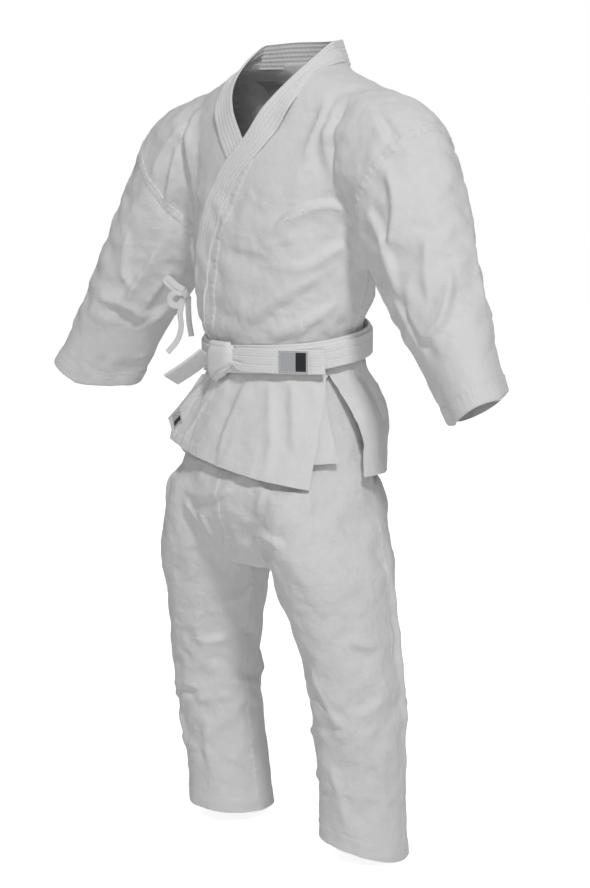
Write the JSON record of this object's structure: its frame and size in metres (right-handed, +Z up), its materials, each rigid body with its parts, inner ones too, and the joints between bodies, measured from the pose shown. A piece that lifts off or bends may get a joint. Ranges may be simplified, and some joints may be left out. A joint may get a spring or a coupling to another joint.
{
  "type": "martial arts uniform",
  "caption": "White cotton wrap jacket with stitched lapels, knotted belt and loose trousers, shaped as worn by a standing wearer, for martial arts training.",
  "frame": {"origin": "midway between the wearer's shoulders, at shoulder height", "axes": "+Z up, the wearer faces -Y, +X towards the wearer's left"},
  "size_m": [0.9684, 0.2814, 1.3015],
  "materials": {
    "jacket_cotton": "matte plain-woven cotton drill",
    "trouser_cotton": "matte plain-woven cotton drill",
    "stitched_band": "matte cotton with close parallel rows of stitching",
    "belt_webbing": "matte folded cotton with parallel rows of stitching",
    "tape": "matte cotton tape",
    "label": "satin woven label, blank"
  },
  "bodies": {
    "jacket": {"left_front": "jacket_cotton", "left_front_extension": "jacket_cotton", "right_front": "jacket_cotton", "right_front_extension": "jacket_cotton", "left_back": "jacket_cotton", "right_back": "jacket_cotton", "left_lapel": "stitched_band", "right_lapel": "stitched_band", "neck_band": "stitched_band", "neck_label": "label", "belt_inner_wrap": "belt_webbing", "belt_outer_wrap": "belt_webbing", "belt_knot": "belt_webbing", "tie_knot": "tape", "tie_loop_upper": "tape", "tie_loop_lower": "tape", "tie_tail_long": "tape", "tie_tail_short": "tape", "crotch_gusset": "trouser_cotton", "seat_front": "trouser_cotton", "seat_back": "trouser_cotton", "trouser_waistband": "trouser_cotton"},
    "left_sleeve": {"left_sleeve_front": "jacket_cotton", "left_sleeve_back": "jacket_cotton", "left_cuff_hem": "jacket_cotton"},
    "right_sleeve": {"right_sleeve_front": "jacket_cotton", "right_sleeve_back": "jacket_cotton", "right_cuff_hem": "jacket_cotton"},
    "left_leg": {"left_leg_front": "trouser_cotton", "left_leg_back": "trouser_cotton", "left_hem_band": "trouser_cotton"},
    "right_leg": {"right_leg_front": "trouser_cotton", "right_leg_back": "trouser_cotton", "right_hem_band": "trouser_cotton"},
    "under_flap": {"under_front_flap": "jacket_cotton", "right_lapel_end": "stitched_band"},
    "outer_flap": {"outer_front_flap": "jacket_cotton", "left_lapel_end": "stitched_band", "lapel_label": "label"},
    "back_flap": {"back_flap_left": "jacket_cotton", "back_flap_right": "jacket_cotton"},
    "tail_left": {"belt_tail_left": "belt_webbing", "belt_label": "label", "size_label": "label"},
    "tail_right": {"belt_tail_right": "belt_webbing"}
  },
  "joints": [
    {"name": "left_sleeve_raise", "type": "hinge", "parent": "jacket", "child": "left_sleeve", "pos_m": [0.19, 0, -0.103], "axis": [0, -1, 0], "range_deg": [0, 50]},
    {"name": "right_sleeve_raise", "type": "hinge", "parent": "jacket", "child": "right_sleeve", "pos_m": [-0.19, 0, -0.103], "axis": [0, 1, 0], "range_deg": [0, 50]},
    {"name": "left_leg_swing", "type": "hinge", "parent": "jacket", "child": "left_leg", "pos_m": [0, -0.002, -0.635], "axis": [-1, 0, 0], "range_deg": [-25, 45]},
    {"name": "right_leg_swing", "type": "hinge", "parent": "jacket", "child": "right_leg", "pos_m": [0, -0.002, -0.635], "axis": [-1, 0, 0], "range_deg": [-25, 45]},
    {"name": "under_flap_lift", "type": "hinge", "parent": "jacket", "child": "under_flap", "pos_m": [0, -0.128, -0.443], "axis": [-1, 0, 0], "range_deg": [0, 15], "stiffness_Nm_per_rad": 0.2, "springref_deg": -28.65},
    {"name": "outer_flap_lift", "type": "hinge", "parent": "under_flap", "child": "outer_flap", "pos_m": [0, -0.128, -0.443], "axis": [-1, 0, 0], "range_deg": [0, 25], "stiffness_Nm_per_rad": 0.1, "springref_deg": -28.65},
    {"name": "back_flap_lift", "type": "hinge", "parent": "jacket", "child": "back_flap", "pos_m": [0, 0.05, -0.415], "axis": [1, 0, 0], "range_deg": [0, 20]},
    {"name": "belt_tail_left_swing", "type": "hinge", "parent": "jacket", "child": "tail_left", "pos_m": [-0.0194, -0.1207, -0.414], "axis": [0, 0, -1], "range_deg": [0, 50]},
    {"name": "belt_tail_right_swing", "type": "hinge", "parent": "jacket", "child": "tail_right", "pos_m": [-0.0786, -0.125, -0.419], "axis": [0, 0, 1], "range_deg": [0, 25]}
  ]
}
